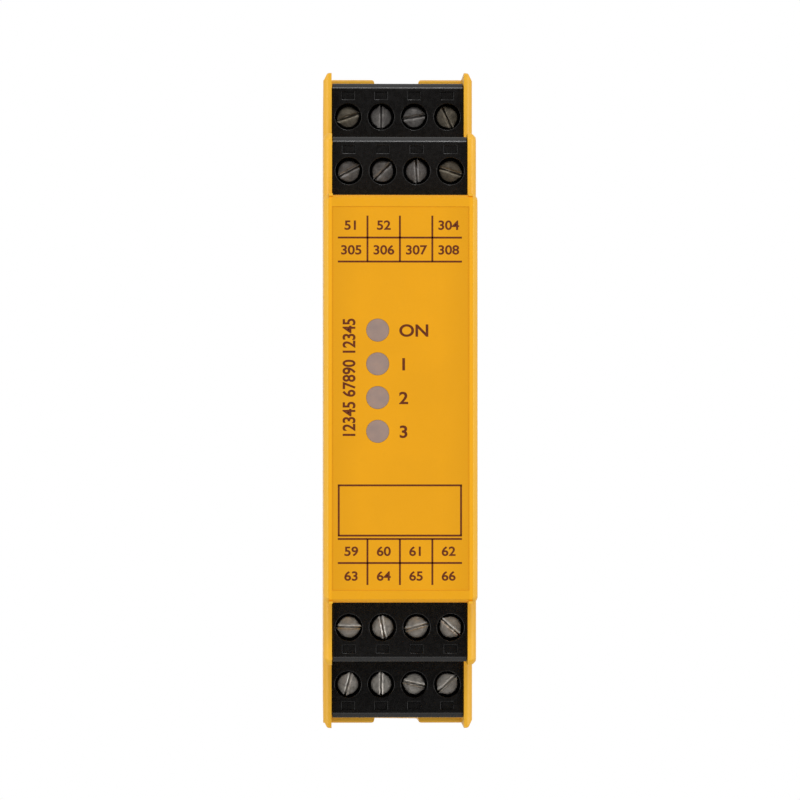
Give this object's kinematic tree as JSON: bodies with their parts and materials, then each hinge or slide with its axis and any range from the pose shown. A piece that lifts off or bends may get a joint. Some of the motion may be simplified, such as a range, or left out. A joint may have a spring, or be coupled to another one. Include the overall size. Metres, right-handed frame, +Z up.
{
  "type": "safety relay",
  "caption": "Narrow yellow rail-mounted safety relay module with black plug-in screw terminal blocks in two steps at each end.",
  "frame": {"origin": "middle of the face that rests on the rail, at the front plane of the rail's flanges", "axes": "+Y out of the back through the rail, +Z up towards the upper terminal blocks, +X to the right seen from the front"},
  "size_m": [0.0226, 0.1145, 0.1016],
  "materials": {
    "yellow_housing": "moulded polyamide, fine satin texture",
    "orange_label": "printed film, satin",
    "clear_guide": "clear acrylic seen over a dark inside, satin face",
    "lamp_resin": "diffuse epoxy",
    "board": "green solder resist on glass-fibre laminate",
    "relay_shell": "moulded, satin",
    "laminated_core": "stacked electrical steel",
    "coil_bobbin": "taped winding on a nylon bobbin",
    "capacitor_can": "heat-shrunk sleeve on an aluminium can",
    "contact_metal": "tinned copper alloy",
    "spring_wire": "drawn spring steel",
    "black_plastic": "moulded polyamide, fine satin texture",
    "screw_steel": "zinc-plated steel, dull and lightly burred",
    "cage_metal": "nickel-plated brass"
  },
  "bodies": {
    "housing": {"rear_housing": "yellow_housing", "upper_housing": "yellow_housing", "front_cover": "yellow_housing", "label_plate": "orange_label", "light_guide": "clear_guide", "indicator_leds": "lamp_resin", "circuit_board": "board", "relay_k1": "relay_shell", "relay_k2": "relay_shell", "transformer_core": "laminated_core", "transformer_coil": "coil_bobbin", "capacitor": "capacitor_can", "header_pins": "contact_metal", "foot_spring": "spring_wire", "header_top_rear": "black_plastic", "header_top_front": "black_plastic", "header_bottom_front": "black_plastic", "header_bottom_rear": "black_plastic"},
    "foot": {"foot_catch": "black_plastic"},
    "plug_top_rear": {"plug_top_rear": "black_plastic", "contacts_top_rear": "contact_metal"},
    "plug_top_front": {"plug_top_front": "black_plastic", "contacts_top_front": "contact_metal"},
    "plug_bottom_front": {"plug_bottom_front": "black_plastic", "contacts_bottom_front": "contact_metal"},
    "plug_bottom_rear": {"plug_bottom_rear": "black_plastic", "contacts_bottom_rear": "contact_metal"},
    "screw_top_rear_1": {"screw_top_rear_1": "screw_steel"},
    "cage_top_rear_1": {"cage_top_rear_1": "cage_metal"},
    "screw_top_rear_2": {"screw_top_rear_2": "screw_steel"},
    "cage_top_rear_2": {"cage_top_rear_2": "cage_metal"},
    "screw_top_rear_3": {"screw_top_rear_3": "screw_steel"},
    "cage_top_rear_3": {"cage_top_rear_3": "cage_metal"},
    "screw_top_rear_4": {"screw_top_rear_4": "screw_steel"},
    "cage_top_rear_4": {"cage_top_rear_4": "cage_metal"},
    "screw_top_front_1": {"screw_top_front_1": "screw_steel"},
    "cage_top_front_1": {"cage_top_front_1": "cage_metal"},
    "screw_top_front_2": {"screw_top_front_2": "screw_steel"},
    "cage_top_front_2": {"cage_top_front_2": "cage_metal"},
    "screw_top_front_3": {"screw_top_front_3": "screw_steel"},
    "cage_top_front_3": {"cage_top_front_3": "cage_metal"},
    "screw_top_front_4": {"screw_top_front_4": "screw_steel"},
    "cage_top_front_4": {"cage_top_front_4": "cage_metal"},
    "screw_bottom_front_1": {"screw_bottom_front_1": "screw_steel"},
    "cage_bottom_front_1": {"cage_bottom_front_1": "cage_metal"},
    "screw_bottom_front_2": {"screw_bottom_front_2": "screw_steel"},
    "cage_bottom_front_2": {"cage_bottom_front_2": "cage_metal"},
    "screw_bottom_front_3": {"screw_bottom_front_3": "screw_steel"},
    "cage_bottom_front_3": {"cage_bottom_front_3": "cage_metal"},
    "screw_bottom_front_4": {"screw_bottom_front_4": "screw_steel"},
    "cage_bottom_front_4": {"cage_bottom_front_4": "cage_metal"},
    "screw_bottom_rear_1": {"screw_bottom_rear_1": "screw_steel"},
    "cage_bottom_rear_1": {"cage_bottom_rear_1": "cage_metal"},
    "screw_bottom_rear_2": {"screw_bottom_rear_2": "screw_steel"},
    "cage_bottom_rear_2": {"cage_bottom_rear_2": "cage_metal"},
    "screw_bottom_rear_3": {"screw_bottom_rear_3": "screw_steel"},
    "cage_bottom_rear_3": {"cage_bottom_rear_3": "cage_metal"},
    "screw_bottom_rear_4": {"screw_bottom_rear_4": "screw_steel"},
    "cage_bottom_rear_4": {"cage_bottom_rear_4": "cage_metal"}
  },
  "joints": [
    {"name": "foot_slide", "type": "slide", "parent": "housing", "child": "foot", "axis": [0, 0, -1], "range_m": [0, 0.004], "stiffness_N_per_m": 800, "springref_m": -0.004, "deforming": ["foot_spring"]},
    {"name": "plug_top_rear_pull", "type": "slide", "parent": "housing", "child": "plug_top_rear", "axis": [0, -1, 0], "range_m": [0, 0.01]},
    {"name": "plug_top_front_pull", "type": "slide", "parent": "housing", "child": "plug_top_front", "axis": [0, -1, 0], "range_m": [0, 0.01]},
    {"name": "plug_bottom_front_pull", "type": "slide", "parent": "housing", "child": "plug_bottom_front", "axis": [0, -1, 0], "range_m": [0, 0.01]},
    {"name": "plug_bottom_rear_pull", "type": "slide", "parent": "housing", "child": "plug_bottom_rear", "axis": [0, -1, 0], "range_m": [0, 0.01]},
    {"name": "screw_top_rear_1_turn", "type": "hinge", "parent": "plug_top_rear", "child": "screw_top_rear_1", "pos_m": [-0.0075, -0.086, 0.04295], "axis": [0, 1, 0], "range_deg": [0, 1620]},
    {"name": "cage_top_rear_1_lift", "type": "slide", "parent": "plug_top_rear", "child": "cage_top_rear_1", "axis": [0, -1, 0], "range_m": [0, 0.00225]},
    {"name": "screw_top_rear_2_turn", "type": "hinge", "parent": "plug_top_rear", "child": "screw_top_rear_2", "pos_m": [-0.0025, -0.086, 0.04295], "axis": [0, 1, 0], "range_deg": [0, 1620]},
    {"name": "cage_top_rear_2_lift", "type": "slide", "parent": "plug_top_rear", "child": "cage_top_rear_2", "axis": [0, -1, 0], "range_m": [0, 0.00225]},
    {"name": "screw_top_rear_3_turn", "type": "hinge", "parent": "plug_top_rear", "child": "screw_top_rear_3", "pos_m": [0.0025, -0.086, 0.04295], "axis": [0, 1, 0], "range_deg": [0, 1620]},
    {"name": "cage_top_rear_3_lift", "type": "slide", "parent": "plug_top_rear", "child": "cage_top_rear_3", "axis": [0, -1, 0], "range_m": [0, 0.00225]},
    {"name": "screw_top_rear_4_turn", "type": "hinge", "parent": "plug_top_rear", "child": "screw_top_rear_4", "pos_m": [0.0075, -0.086, 0.04295], "axis": [0, 1, 0], "range_deg": [0, 1620]},
    {"name": "cage_top_rear_4_lift", "type": "slide", "parent": "plug_top_rear", "child": "cage_top_rear_4", "axis": [0, -1, 0], "range_m": [0, 0.00225]},
    {"name": "screw_top_front_1_turn", "type": "hinge", "parent": "plug_top_front", "child": "screw_top_front_1", "pos_m": [-0.0075, -0.102, 0.03365], "axis": [0, 1, 0], "range_deg": [0, 1620]},
    {"name": "cage_top_front_1_lift", "type": "slide", "parent": "plug_top_front", "child": "cage_top_front_1", "axis": [0, -1, 0], "range_m": [0, 0.00225]},
    {"name": "screw_top_front_2_turn", "type": "hinge", "parent": "plug_top_front", "child": "screw_top_front_2", "pos_m": [-0.0025, -0.102, 0.03365], "axis": [0, 1, 0], "range_deg": [0, 1620]},
    {"name": "cage_top_front_2_lift", "type": "slide", "parent": "plug_top_front", "child": "cage_top_front_2", "axis": [0, -1, 0], "range_m": [0, 0.00225]},
    {"name": "screw_top_front_3_turn", "type": "hinge", "parent": "plug_top_front", "child": "screw_top_front_3", "pos_m": [0.0025, -0.102, 0.03365], "axis": [0, 1, 0], "range_deg": [0, 1620]},
    {"name": "cage_top_front_3_lift", "type": "slide", "parent": "plug_top_front", "child": "cage_top_front_3", "axis": [0, -1, 0], "range_m": [0, 0.00225]},
    {"name": "screw_top_front_4_turn", "type": "hinge", "parent": "plug_top_front", "child": "screw_top_front_4", "pos_m": [0.0075, -0.102, 0.03365], "axis": [0, 1, 0], "range_deg": [0, 1620]},
    {"name": "cage_top_front_4_lift", "type": "slide", "parent": "plug_top_front", "child": "cage_top_front_4", "axis": [0, -1, 0], "range_m": [0, 0.00225]},
    {"name": "screw_bottom_front_1_turn", "type": "hinge", "parent": "plug_bottom_front", "child": "screw_bottom_front_1", "pos_m": [-0.0075, -0.102, -0.03365], "axis": [0, 1, 0], "range_deg": [0, 1620]},
    {"name": "cage_bottom_front_1_lift", "type": "slide", "parent": "plug_bottom_front", "child": "cage_bottom_front_1", "axis": [0, -1, 0], "range_m": [0, 0.00225]},
    {"name": "screw_bottom_front_2_turn", "type": "hinge", "parent": "plug_bottom_front", "child": "screw_bottom_front_2", "pos_m": [-0.0025, -0.102, -0.03365], "axis": [0, 1, 0], "range_deg": [0, 1620]},
    {"name": "cage_bottom_front_2_lift", "type": "slide", "parent": "plug_bottom_front", "child": "cage_bottom_front_2", "axis": [0, -1, 0], "range_m": [0, 0.00225]},
    {"name": "screw_bottom_front_3_turn", "type": "hinge", "parent": "plug_bottom_front", "child": "screw_bottom_front_3", "pos_m": [0.0025, -0.102, -0.03365], "axis": [0, 1, 0], "range_deg": [0, 1620]},
    {"name": "cage_bottom_front_3_lift", "type": "slide", "parent": "plug_bottom_front", "child": "cage_bottom_front_3", "axis": [0, -1, 0], "range_m": [0, 0.00225]},
    {"name": "screw_bottom_front_4_turn", "type": "hinge", "parent": "plug_bottom_front", "child": "screw_bottom_front_4", "pos_m": [0.0075, -0.102, -0.03365], "axis": [0, 1, 0], "range_deg": [0, 1620]},
    {"name": "cage_bottom_front_4_lift", "type": "slide", "parent": "plug_bottom_front", "child": "cage_bottom_front_4", "axis": [0, -1, 0], "range_m": [0, 0.00225]},
    {"name": "screw_bottom_rear_1_turn", "type": "hinge", "parent": "plug_bottom_rear", "child": "screw_bottom_rear_1", "pos_m": [-0.0075, -0.086, -0.04295], "axis": [0, 1, 0], "range_deg": [0, 1620]},
    {"name": "cage_bottom_rear_1_lift", "type": "slide", "parent": "plug_bottom_rear", "child": "cage_bottom_rear_1", "axis": [0, -1, 0], "range_m": [0, 0.00225]},
    {"name": "screw_bottom_rear_2_turn", "type": "hinge", "parent": "plug_bottom_rear", "child": "screw_bottom_rear_2", "pos_m": [-0.0025, -0.086, -0.04295], "axis": [0, 1, 0], "range_deg": [0, 1620]},
    {"name": "cage_bottom_rear_2_lift", "type": "slide", "parent": "plug_bottom_rear", "child": "cage_bottom_rear_2", "axis": [0, -1, 0], "range_m": [0, 0.00225]},
    {"name": "screw_bottom_rear_3_turn", "type": "hinge", "parent": "plug_bottom_rear", "child": "screw_bottom_rear_3", "pos_m": [0.0025, -0.086, -0.04295], "axis": [0, 1, 0], "range_deg": [0, 1620]},
    {"name": "cage_bottom_rear_3_lift", "type": "slide", "parent": "plug_bottom_rear", "child": "cage_bottom_rear_3", "axis": [0, -1, 0], "range_m": [0, 0.00225]},
    {"name": "screw_bottom_rear_4_turn", "type": "hinge", "parent": "plug_bottom_rear", "child": "screw_bottom_rear_4", "pos_m": [0.0075, -0.086, -0.04295], "axis": [0, 1, 0], "range_deg": [0, 1620]},
    {"name": "cage_bottom_rear_4_lift", "type": "slide", "parent": "plug_bottom_rear", "child": "cage_bottom_rear_4", "axis": [0, -1, 0], "range_m": [0, 0.00225]}
  ],
  "couplings": [
    {"joint": "screw_top_rear_1_turn", "follows": "cage_top_rear_1_lift", "rad_per_m": 12566},
    {"joint": "screw_top_rear_2_turn", "follows": "cage_top_rear_2_lift", "rad_per_m": 12566},
    {"joint": "screw_top_rear_3_turn", "follows": "cage_top_rear_3_lift", "rad_per_m": 12566},
    {"joint": "screw_top_rear_4_turn", "follows": "cage_top_rear_4_lift", "rad_per_m": 12566},
    {"joint": "screw_top_front_1_turn", "follows": "cage_top_front_1_lift", "rad_per_m": 12566},
    {"joint": "screw_top_front_2_turn", "follows": "cage_top_front_2_lift", "rad_per_m": 12566},
    {"joint": "screw_top_front_3_turn", "follows": "cage_top_front_3_lift", "rad_per_m": 12566},
    {"joint": "screw_top_front_4_turn", "follows": "cage_top_front_4_lift", "rad_per_m": 12566},
    {"joint": "screw_bottom_front_1_turn", "follows": "cage_bottom_front_1_lift", "rad_per_m": 12566},
    {"joint": "screw_bottom_front_2_turn", "follows": "cage_bottom_front_2_lift", "rad_per_m": 12566},
    {"joint": "screw_bottom_front_3_turn", "follows": "cage_bottom_front_3_lift", "rad_per_m": 12566},
    {"joint": "screw_bottom_front_4_turn", "follows": "cage_bottom_front_4_lift", "rad_per_m": 12566},
    {"joint": "screw_bottom_rear_1_turn", "follows": "cage_bottom_rear_1_lift", "rad_per_m": 12566},
    {"joint": "screw_bottom_rear_2_turn", "follows": "cage_bottom_rear_2_lift", "rad_per_m": 12566},
    {"joint": "screw_bottom_rear_3_turn", "follows": "cage_bottom_rear_3_lift", "rad_per_m": 12566},
    {"joint": "screw_bottom_rear_4_turn", "follows": "cage_bottom_rear_4_lift", "rad_per_m": 12566}
  ]
}
